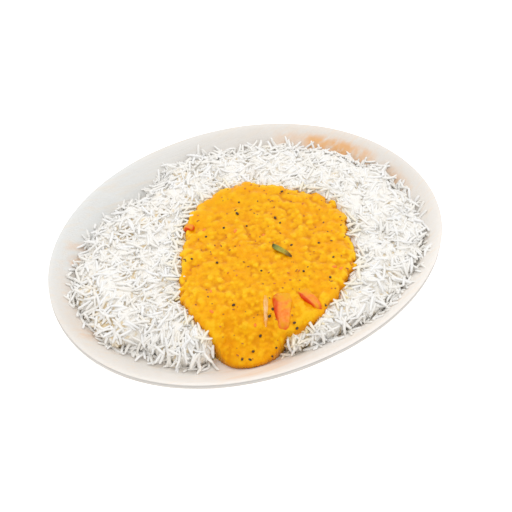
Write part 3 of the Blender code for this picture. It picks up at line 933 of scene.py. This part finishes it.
def lay_grain(ground, bed, depth, spots, rng, length):
    """Of a few random places for a grain, the one where the heap is least filled."""
    steps = np.linspace(-0.5, 0.5, GRAIN_SAMPLES)
    half = GRAIN_SAMPLES // 2
    best = None
    for _ in range(GRAIN_TRIES):
        x, y = spots[rng.integers(len(spots))] + rng.uniform(-1, 1, 2) * GRID_PITCH
        patch = noise.noise((x / GRAIN_PATCH, y / GRAIN_PATCH, 8.0))
        heading = 2.0 * math.pi * patch + rng.normal(0.0, GRAIN_STRAY)
        run = steps * length
        heights = ground.at(x + run * math.cos(heading), y + run * math.sin(heading))
        left, right = run[:half, None], run[None, half + 1:]
        low, high = heights[:half, None], heights[None, half + 1:]
        crossing = np.where((low < 0) | (high < 0), -1.0, (low * right - high * left) / (right - left))
        i, j = np.unravel_index(np.argmax(crossing), crossing.shape)
        rest = max(float(crossing[i, j]), float(heights[half]))
        slope = float((high[0, j] - low[i, 0]) / (right[0, j] - left[i, 0]))
        if abs(slope) > STEEPEST_GRAIN:
            continue
        over = (rest - float(bed.at(x, y))) / float(depth.at(x, y))
        if best is None or over < best[0]:
            best = (over, x, y, rest, heading, slope)
    return best


def raise_ground(ground, x, y, z, heading, slope, length, width):
    """Let the ground take in the top of a grain, so that the next one lies on it."""
    run = np.arange(-0.5, 0.5, GRID_PITCH / length)[:, None] * length
    off = np.array([-0.35, 0.0, 0.35])[None, :] * width
    top = z + slope * run + np.sqrt((0.5 * width) ** 2 - off ** 2)
    xs = x + run * math.cos(heading) - off * math.sin(heading)
    ys = y + run * math.sin(heading) + off * math.cos(heading)
    ground.raise_to(xs.ravel(), ys.ravel(), top.ravel())


def lay_rice(ground, bed, spots, stain, curry):
    """Lay whole and broken grains one by one, each on what lies there already."""
    rng = np.random.default_rng(7)
    depth = Ground(GRID_PITCH)
    depth.heights = np.maximum(bed.heights - ground.heights, LEAST_DEPTH)
    kinds = {name: Grains(name) for name in GRAIN_KINDS}
    order = [name for name, (count, _, _) in GRAIN_KINDS.items() for _ in range(count)]
    for pick in rng.permutation(len(order)):
        name = order[pick]
        length = rng.uniform(*GRAIN_KINDS[name][1:])
        width = rng.uniform(*GRAIN_WIDTH)
        laid = lay_grain(ground, bed, depth, spots, rng, length)
        if laid is None or laid[0] > HIGHEST_OVER_BED:
            continue
        _, x, y, rest, heading, slope = laid
        z = rest + (0.5 - GRAIN_SINK) * width
        run = np.linspace(-0.5, 0.5, GRAIN_SAMPLES) * length
        along = (x + run * math.cos(heading), y + run * math.sin(heading))
        over_curry = z + slope * run + 0.5 * width - curry.at(*along)
        deep = curry.inside.at(*along) > CURRY_OVERLAP
        if np.any(deep & (over_curry > -LEAST_COVER)):
            continue
        # Grains in the heap's gaps get painted tan shade.
        stained, painted_gap_shade = float(stain.at(x, y)), float(bed.gaps[bed.cells(x, y)])
        kinds[name].add(rng, Vector((x, y, z)), heading, slope, length, width, stained, painted_gap_shade)
        raise_ground(ground, x, y, z, heading, slope, length, width)
    return kinds


def pick_grain(rng, names):
    """Kind, length and width of a grain, drawn from the named kinds."""
    name = names[rng.integers(len(names))]
    return name, rng.uniform(*GRAIN_KINDS[name][1:]), rng.uniform(*GRAIN_WIDTH)


def add_rim_grains(kinds, ground, distance, count, lean, stain, seed):
    """Single grains that stick out over an edge, their roots in the heap."""
    rng = np.random.default_rng(seed)
    slope_x, slope_y = np.gradient(distance.heights)
    band = np.argwhere((distance.heights > 0.0) & (distance.heights < RIM_REACH))
    for _ in range(count):
        column, row = band[rng.integers(len(band))]
        outward = math.atan2(-slope_y[column, row], -slope_x[column, row])
        heading = outward + rng.normal(0.0, RIM_STRAY)
        slope = rng.uniform(*lean)
        x, y = ground.place(column, row)
        name, length, width = pick_grain(rng, WHOLE_GRAINS)
        z = float(ground.at(x, y)) + RIM_LIFT * width + LEAN_LIFT * length * abs(slope)
        stained = stain * rng.uniform(*STAIN_SHARES)
        kinds[name].add(rng, Vector((x, y, z)), heading, slope, length, width, stained)


def in_bays(xs, ys):
    """Where the rice stays further in than its solid."""
    inside = np.zeros(xs.shape, dtype=bool)
    for (middle_x, middle_y), half_length, half_width, turn in RICE_BAYS:
        turn = math.radians(turn)
        dx, dy = xs - middle_x, ys - middle_y
        along = (dx * math.cos(turn) + dy * math.sin(turn)) / half_length
        across = (dy * math.cos(turn) - dx * math.sin(turn)) / half_width
        inside |= along ** 2 + across ** 2 < 1.0
    return inside


def gaps_at(ground):
    """How open the heap is between its grains, 0 to 1: more so towards the left."""
    xs, _ = ground.place(*np.indices(ground.heights.shape))
    open_share = relief(ground, GAP_WAVES, 5.0) - GAP_START - FEWER_GAPS_RIGHT * xs
    return np.clip(open_share * GAP_SHARPNESS, 0.0, 1.0)


def add_side_grains(kinds, bed, plate_top, open_heap):
    """Grains lying down the steep sides of the heap, where none comes to rest by itself."""
    rng = np.random.default_rng(14)
    rise_x, rise_y = np.gradient(bed.heights, GRID_PITCH)
    steep = np.argwhere(open_heap & (np.hypot(rise_x, rise_y) > STEEP_SIDE))
    for _ in range(int(len(steep) * GRID_PITCH ** 2 * SIDE_GRAINS)):
        column, row = steep[rng.integers(len(steep))]
        heading = math.atan2(-rise_y[column, row], -rise_x[column, row]) + rng.normal(0.0, SIDE_STRAY)
        slope = rise_x[column, row] * math.cos(heading) + rise_y[column, row] * math.sin(heading)
        slope = max(-STEEPEST_SIDE, min(STEEPEST_SIDE, slope))
        name, length, width = pick_grain(rng, WHOLE_GRAINS)
        x, y = bed.place(column, row)
        middle = Vector((x, y, bed.heights[column, row] + rng.uniform(*SIDE_LIFT) * width))
        reach = Vector((math.cos(heading), math.sin(heading), slope)).normalized() * 0.5 * length
        low, high = sorted((middle - reach, middle + reach), key=lambda end: end.z)
        if low.z < plate_top.at(low.x, low.y) or high.z > bed.at(high.x, high.y) + SIDE_STICKS_UP:
            continue
        kinds[name].add(rng, middle, heading, slope, length, width, 0.0)


def add_foot_grains(kinds, plate_top, rim):
    """Loose grains that lie on the plate round the foot of the heap."""
    rng = np.random.default_rng(15)
    band = np.argwhere(np.abs(rim.heights) < FOOT_REACH)
    for _ in range(FOOT_GRAINS):
        column, row = band[rng.integers(len(band))]
        x, y = plate_top.place(column, row)
        heading = rng.uniform(0.0, math.pi)
        name, length, width = pick_grain(rng, tuple(GRAIN_KINDS))
        reach_x, reach_y = 0.5 * length * math.cos(heading), 0.5 * length * math.sin(heading)
        front = float(plate_top.at(x + reach_x, y + reach_y))
        back = float(plate_top.at(x - reach_x, y - reach_y))
        z = max(float(plate_top.at(x, y)), 0.5 * (front + back)) + FOOT_LIFT * width
        kinds[name].add(rng, Vector((x, y, z)), heading, (front - back) / length, length, width, 0.0)


def make_rice_bed(ground, bed, core, plate_top, curry):
    """Mass of rice that fills the heap up to a little below the tops of its grains."""
    packed = blurred(lowest_near(ground.heights, 1), 1) + BED_FILL
    shell = blurred(lowest_near(bed.heights, 2), 1) - SHELL_DEPTH
    packed = np.minimum(np.maximum(packed, shell), blurred(bed.heights, 1))
    under_curry = curry.inside.at(*ground.place(*np.indices(core.shape))) > BED_UNDER_CURRY
    fine = Ground(GRID_PITCH)
    heaped = ground.heights > plate_top.heights + LEAST_BED
    near_grains = edge_distance(heaped, GRID_PITCH, BED_REACH) > -BED_BEYOND
    packed = np.where(under_curry, np.minimum(packed, core), packed)
    fine.heights = np.where(near_grains, packed, -1.0)
    mass = Ground(BED_PITCH)
    xs, ys = mass.place(*np.indices(mass.heights.shape))
    mass.heights = fine.at(xs, ys)
    covered = mass.heights > plate_top.at(xs, ys) + LEAST_BED
    covered = edge_distance(covered, BED_PITCH, 2.0 * BED_INSET) > BED_INSET
    piece = heap_piece("rice_bed", mass, covered, lambda x, y: float(plate_top.at(x, y)) + BED_OVER_PLATE,
                       rice_core_painted_shade_material())
    places = np.array([vertex.co for vertex in piece.data.vertices])
    # The bed is painted tan in the heap's gaps, as shade between the grains.
    set_numbers(piece, "painted_gap_shade", bed.gaps[bed.cells(places[:, 0], places[:, 1])])
    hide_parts("rice")


def make_rice(plate_top, rice_top, curry):
    """Bed of rice with real grains laid over it."""
    bed = Ground(GRID_PITCH)
    bays = in_bays(*bed.place(*np.indices(bed.heights.shape)))
    rice_top.heights[bays] = -1.0
    inside = rice_top.heights > 0
    bed.gaps = gaps_at(bed)
    rolling = blurred(spread_out(rice_top, inside), 2) + relief(bed, HEAP_WAVES, 17.0) - GAP_DEPTH * bed.gaps
    bed.heights = np.where(inside, np.maximum(rolling, plate_top.heights), plate_top.heights)
    low = Ground(GRID_PITCH)
    low.heights = blurred(lowest_near(bed.heights, int(CORE_REACH / GRID_PITCH)), 3)
    ground = Ground(GRID_PITCH)
    columns, rows = np.indices(ground.heights.shape)
    xs, ys = ground.place(columns, rows)
    core = low.heights - CORE_DEPTH
    covered = inside & (core > plate_top.heights)
    covered = edge_distance(covered, GRID_PITCH, CORE_INSET) > CORE_EDGE * CORE_INSET
    ground.heights = np.where(covered, core, plate_top.heights)
    rim = Ground(GRID_PITCH)
    rim.heights = edge_distance(inside, GRID_PITCH, HEAP_EDGE)
    allowed = (rim.heights > HEAP_MARGIN) & (curry.inside.at(xs, ys) < RICE_UNDER_CURRY * UNDER_SHARE)
    spots = np.stack(ground.place(*np.argwhere(allowed).T), axis=1)
    stain = Ground(GRID_PITCH)
    stain.heights = RICE_STAIN * np.clip(STAIN_AT_EDGE + curry.inside.at(xs, ys) / STAIN_WIDTH, 0.0, 1.0)
    kinds = lay_rice(ground, bed, spots, stain, curry)
    make_rice_bed(ground, bed, core, plate_top, curry)
    open_rim = curry.inside.at(xs, ys) < -RIM_FROM_CURRY
    add_side_grains(kinds, bed, plate_top, inside & (curry.inside.at(xs, ys) < -SIDE_FROM_CURRY))
    rim.heights = np.where(open_rim, rim.heights, -1.0)
    add_rim_grains(kinds, ground, rim, RIM_GRAINS, RIM_LEAN, 0.0, 12)
    add_foot_grains(kinds, plate_top, rim)
    shore = Ground(GRID_PITCH)
    shore.heights = np.where(inside, -curry.inside.at(xs, ys), -1.0)
    add_rim_grains(kinds, ground, shore, CURRY_RIM_GRAINS, CURRY_RIM_LEAN, CURRY_RIM_STAIN, 13)
    material = rice_material()
    for grains in kinds.values():
        grains.make(material)


# Curry

def ease(amount):
    """Smooth step from 0 to 1."""
    amount = np.clip(amount, 0.0, 1.0)
    return amount * amount * (3.0 - 2.0 * amount)


def front_share(x, y):
    """1 at the lip where the curry runs out over the plate, 0 over most of it."""
    toward = math.radians(FRONT_DIRECTION)
    forward = x * math.cos(toward) + y * math.sin(toward)
    return ease((forward - FRONT_START) / (FRONT_END - FRONT_START))


def add_lentils(heights, base, inside, rng):
    """Raise the curry over each lentil, as a low oval cap."""
    spots = np.argwhere(inside)
    for _ in range(LENTILS):
        column, row = spots[rng.integers(len(spots))]
        long_side = rng.uniform(*LENTIL_SIZE)
        short_side = long_side * rng.uniform(*LENTIL_OVAL)
        rise = rng.uniform(*LENTIL_RISE)
        turn = rng.uniform(0.0, math.pi)
        lift = rng.uniform(*LENTIL_LIFT)
        reach = int(long_side / CURRY_PITCH) + 1
        left, right = column - reach, column + reach + 1
        low, high = row - reach, row + reach + 1
        dx, dy = np.meshgrid(np.arange(left, right) - column, np.arange(low, high) - row, indexing="ij")
        along = (dx * math.cos(turn) + dy * math.sin(turn)) * CURRY_PITCH / long_side
        across = (dy * math.cos(turn) - dx * math.sin(turn)) * CURRY_PITCH / short_side
        cap = np.sqrt(np.clip(1.0 - along ** 2 - across ** 2, 0.0, 1.0))
        patch = heights[left:right, low:high]
        raised = np.maximum(patch, base[column, row] + lift + rise * cap)
        heights[left:right, low:high] = np.where(cap > 0.0, raised, patch)


def shape_curry(solid):
    """Height grid of the curry, with its lentils and ragged edge."""
    curry = top_of(solid, CURRY_PITCH)
    covered = curry.heights > 0
    base = blurred(spread_out(curry, covered), 3) - CURRY_DROP + relief(curry, CURRY_WAVES, 9.0)
    heights = base.copy()
    add_lentils(heights, base, covered, np.random.default_rng(21))
    smooth = SMOOTHER_BACK * ease(curry.place(*np.indices(heights.shape))[1] / SMOOTH_FROM)
    heights = LENTIL_SHARP * heights + LENTIL_SOFT * blurred(heights, 1)
    heights = (1.0 - smooth) * heights + smooth * blurred(heights, 3)
    columns, rows = np.indices(heights.shape)
    curry.front = front_share(*curry.place(columns, rows))
    inside = edge_distance(covered, CURRY_PITCH, EDGE_REACH)
    bays = EDGE_DRAW_IN + relief(curry, EDGE_BAYS, 15.0) * (1.0 - curry.front)
    curry.covered = covered & (inside > bays)
    near_edge = np.clip(1.0 - (inside - bays) / EDGE_ROUND, 0.0, 1.0)
    heights = heights - EDGE_DROP * near_edge ** 2
    curry.heights = heights
    curry.level = Ground(CURRY_PITCH)
    curry.level.heights = blurred(heights, LEVEL_BLUR)
    # The material paints the tops lighter and the lows darker: lentil tone, and painted light and shade.
    curry.lumps = np.clip((heights - blurred(heights, LUMP_BLUR)) / LUMP_HEIGHT + 0.5, 0.0, 1.0)
    curry.inside = Ground(CURRY_PITCH)
    curry.inside.heights = inside
    return curry


def make_curry(curry, plate_top):
    """The curry's mesh, which carries how lumpy each point is, for its tone and painted light and shade, and
    how near the front it is, for painted shade on the front slope.
    """
    piece = heap_piece("lentil_curry", curry, curry.covered,
                       lambda x, y: float(plate_top.at(x, y)) + CURRY_OVER_PLATE,
                       curry_material())
    places = np.array([vertex.co for vertex in piece.data.vertices])
    set_numbers(piece, "lump_tone_and_painted_light", curry.lumps[curry.cells(places[:, 0], places[:, 1])])
    # Painted shade on the front slope.
    set_numbers(piece, "front", FRONT_PAINTED_SHADE * front_share(places[:, 0], places[:, 1]))
    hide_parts("curry")


def ball_points(middle, radii, turn):
    """Small rounded body as rings between two poles."""
    points = [(0.0, 0.0, 1.0)]
    for ring in range(1, 7):
        polar = math.pi * ring / 7
        for side in range(10):
            angle = math.tau * side / 10
            x, y = math.sin(polar) * math.cos(angle), math.sin(polar) * math.sin(angle)
            points.append((x, y, math.cos(polar)))
    points.append((0.0, 0.0, -1.0))
    placed = []
    for x, y, z in points:
        x, y, z = x * radii[0], y * radii[1], z * radii[2]
        placed.append((
            middle[0] + x * math.cos(turn) - y * math.sin(turn),
            middle[1] + x * math.sin(turn) + y * math.cos(turn),
            middle[2] + z,
        ))
    return placed


class Balls:
    """Small rounded bodies gathered into one mesh."""

    def __init__(self):
        self.points = []
        self.faces = []
        self.shades = []

    def add(self, middle, radii, turn, shade=0.0):
        first = len(self.points)
        made = ball_points(middle, radii, turn)
        self.points += made
        self.faces += [tuple(first + i for i in face) for face in ring_faces(6, 10, True, True)]
        self.shades += [shade] * len(made)

    def make(self, name, material, slot):
        piece = add_piece(name, self.points, self.faces, material)
        fix_normals(piece)
        set_numbers(piece, "shade", self.shades)


def make_seeds(curry):
    """Mustard seeds half sunk in the curry, and finer specks of spice."""
    rng = random.Random(31)
    seeds = Balls()
    for x, y in SEEDS:
        radius = SEED_RADIUS * rng.uniform(0.75, 1.05)
        stretch = rng.choice((1.0, 1.0, 1.25, 1.6))
        middle = (x, y, float(curry.at(x, y)) + radius * rng.uniform(-0.2, 0.4))
        seeds.add(middle, (radius * stretch, radius * 0.92, radius * 0.88), rng.uniform(0, math.tau))
    seeds.make("mustard_seeds", seed_material(), "curry")
    specks = Balls()
    inside = np.argwhere(curry.inside.heights > 0.002)
    for _ in range(SPECKS):
        column, row = inside[rng.randrange(len(inside))]
        size = rng.uniform(*SPECK_SIZE)
        middle = (*curry.place(column, row), float(curry.heights[column, row]) + 0.2 * size)
        radii = (size * rng.uniform(*SPECK_STRETCH), size, 0.5 * size)
        specks.add(middle, radii, rng.uniform(0, math.tau), rng.random())
    specks.make("spice_specks", speck_material(), "curry")


def make_flecks(curry, material):
    """Small scraps of tomato in the curry."""
    rng = random.Random(37)
    flecks = Balls()
    for x, y, turn in FLECKS:
        size = rng.uniform(0.7, 1.1)
        middle = (x, y, float(curry.at(x, y)) - 0.0001)
        flecks.add(middle, [size * radius for radius in FLECK_SIZE], math.radians(turn))
    flecks.make("tomato_flecks", material, "tomato")


# Pieces in the curry

def make_topping(name, curry, material):
    """Low rounded piece with a skin edge on one side, its far end sunk in the curry."""
    node_name, (middle_x, middle_y), (length, width, height), turn, sink = TOPPINGS[name]
    turn = math.radians(turn)
    base = float(curry.level.at(middle_x, middle_y)) - sink
    points = [(middle_x, middle_y, base + PIECE_RINGS[0][1] * height)]
    skin, film = [0.0], [0.35]
    for share, rise in PIECE_RINGS:
        for side in range(PIECE_SIDES):
            angle = math.tau * side / PIECE_SIDES
            along = 0.5 * length * share * math.copysign(abs(math.cos(angle)) ** PIECE_POWER, math.cos(angle))
            across = 0.5 * width * share * math.copysign(abs(math.sin(angle)) ** PIECE_POWER, math.sin(angle))
            if across < 0.0:
                across *= PIECE_FLAT_SIDE
            across *= 1.0 + TOPPING_TAPER * along / (0.5 * length)
            ragged = 1.0 + 0.18 * noise.noise((1.6 * math.cos(angle), 1.6 * math.sin(angle), height * 900.0))
            along, across = along * ragged, across * ragged
            x = middle_x + along * math.cos(turn) - across * math.sin(turn)
            y = middle_y + along * math.sin(turn) + across * math.cos(turn)
            far = max(0.0, along / (0.5 * length))
            inner = max(0.0, -across / (0.5 * width))
            lift = height * rise * (1.0 - 0.7 * far ** 2) * (1.0 - 0.5 * inner)
            lift *= 1.0 + PIECE_LUMPS * noise.noise((x * LUMP_WAVES, y * LUMP_WAVES, 2.0))
            points.append((x, y, float(curry.level.at(x, y)) - sink + lift))
            outer = clamp((across / (0.5 * width) - 0.50) / 0.22)
            near = clamp((-along / (0.5 * length) - 0.70) / 0.25)
            edge = max(outer, 0.8 * near)
            skin.append(edge if rise > 0 else 1.0)
            patch = noise.noise((x * 320.0, y * 320.0, 4.0))
            film.append(clamp(0.8 * inner + 1.5 * far + 1.4 * patch - 0.8 * edge))
    points.append((middle_x, middle_y, base + PIECE_RINGS[-1][1] * height))
    skin.append(1.0)
    film.append(0.0)
    faces = ring_faces(len(PIECE_RINGS), PIECE_SIDES, True, True)
    piece = add_piece(name, points, faces, material)
    fix_normals(piece)
    set_numbers(piece, "skin", skin)
    set_numbers(piece, "film", film)
    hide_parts(node_name)


def make_leaf(curry):
    """Thin folded curry leaf with a wavy blade."""
    start = Vector(LEAF_START)
    run = Vector(LEAF_END) - start
    side = Vector((-run.y, run.x)).normalized()
    upper, lower, along = [], [], []
    for column in range(LEAF_COLUMNS):
        share = column / (LEAF_COLUMNS - 1)
        half_width = 0.5 * LEAF_WIDTH * math.sin(math.pi * (0.04 + 0.93 * share ** 0.75))
        for row in range(LEAF_ROWS):
            off = 2.0 * row / (LEAF_ROWS - 1) - 1.0
            spot = start + run * share + side * half_width * off
            wave = LEAF_WAVE * (1.0 + math.sin(7.0 * share + 2.0 * off))
            z = float(curry.level.at(spot.x, spot.y)) + wave + LEAF_FOLD * abs(off) - 0.0003
            lower.append((spot.x, spot.y, z))
            upper.append((spot.x, spot.y, z + LEAF_BODY))
            along.append(share)
    faces = []
    count = len(lower)
    rim = []
    for column in range(LEAF_COLUMNS - 1):
        for row in range(LEAF_ROWS - 1):
            a = column * LEAF_ROWS + row
            b = a + LEAF_ROWS
            faces.append((a, a + 1, b + 1, b))
            faces.append((count + a, count + b, count + b + 1, count + a + 1))
    last = (LEAF_COLUMNS - 1) * LEAF_ROWS
    rim += list(range(LEAF_ROWS - 1))
    rim += [LEAF_ROWS - 1 + column * LEAF_ROWS for column in range(LEAF_COLUMNS - 1)]
    rim += [last + row for row in range(LEAF_ROWS - 1, 0, -1)]
    rim += [column * LEAF_ROWS for column in range(LEAF_COLUMNS - 1, 0, -1)]
    for i, a in enumerate(rim):
        b = rim[(i + 1) % len(rim)]
        faces.append((a, b, count + b, count + a))
    leaf = add_piece("curry_leaf", lower + upper, faces, leaf_material())
    fix_normals(leaf)
    set_numbers(leaf, "along", along + along)
    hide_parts("leaf")


make_camera()
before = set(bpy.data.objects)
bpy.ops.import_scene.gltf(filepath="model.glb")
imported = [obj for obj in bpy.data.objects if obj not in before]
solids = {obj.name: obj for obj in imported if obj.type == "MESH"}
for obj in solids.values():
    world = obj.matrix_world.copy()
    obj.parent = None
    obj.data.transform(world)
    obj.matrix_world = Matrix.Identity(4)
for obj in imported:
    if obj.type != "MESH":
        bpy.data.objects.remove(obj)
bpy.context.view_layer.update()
make_studio()
plate_top = top_of(solids["plate"], GRID_PITCH)
rice_top = top_of(solids["rice"], GRID_PITCH)
curry = shape_curry(solids["curry"])
make_plate()
make_rice(plate_top, rice_top, curry)
make_curry(curry, plate_top)
make_seeds(curry)
tomato = tomato_material()
make_flecks(curry, tomato)
for name in ("tomato_wedge_piece", "tomato_strip_piece", "tomato_bit_piece"):
    make_topping(name, curry, tomato)
make_topping("onion_strip_piece", curry, onion_material())
make_leaf(curry)
